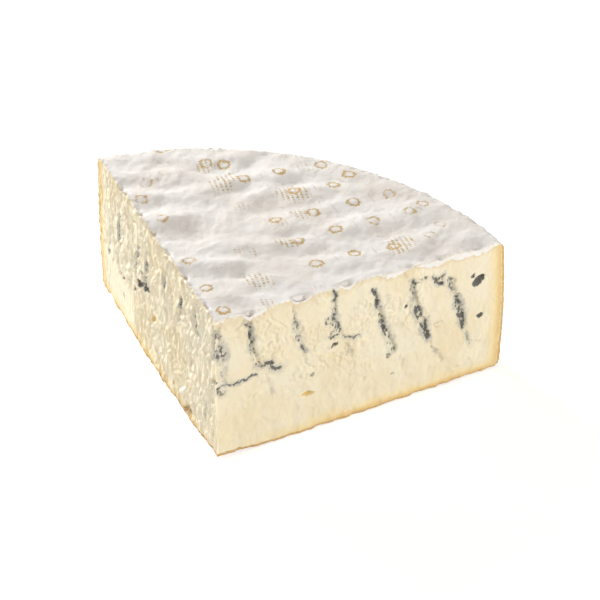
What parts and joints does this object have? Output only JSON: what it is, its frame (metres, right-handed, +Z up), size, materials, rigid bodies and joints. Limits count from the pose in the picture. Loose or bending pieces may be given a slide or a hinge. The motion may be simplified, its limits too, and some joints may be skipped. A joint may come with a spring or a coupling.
{
  "type": "blue cheese wedge",
  "caption": "Wedge cut from a wheel of white-mould blue cheese, with pale paste veined along its needle holes, standing on its flat base.",
  "frame": {"origin": "centre of the bounding box, at the height of the flat base", "axes": "+Z up, +Y from the wedge's tip to the middle of its rind, +X to the right as seen from the tip"},
  "size_m": [0.1516, 0.115, 0.0583],
  "materials": {
    "paste": "moist soft cheese, ivory, with blue-grey veins"
  },
  "bodies": {
    "root": {"cheese_wedge": "paste"}
  },
  "joints": []
}
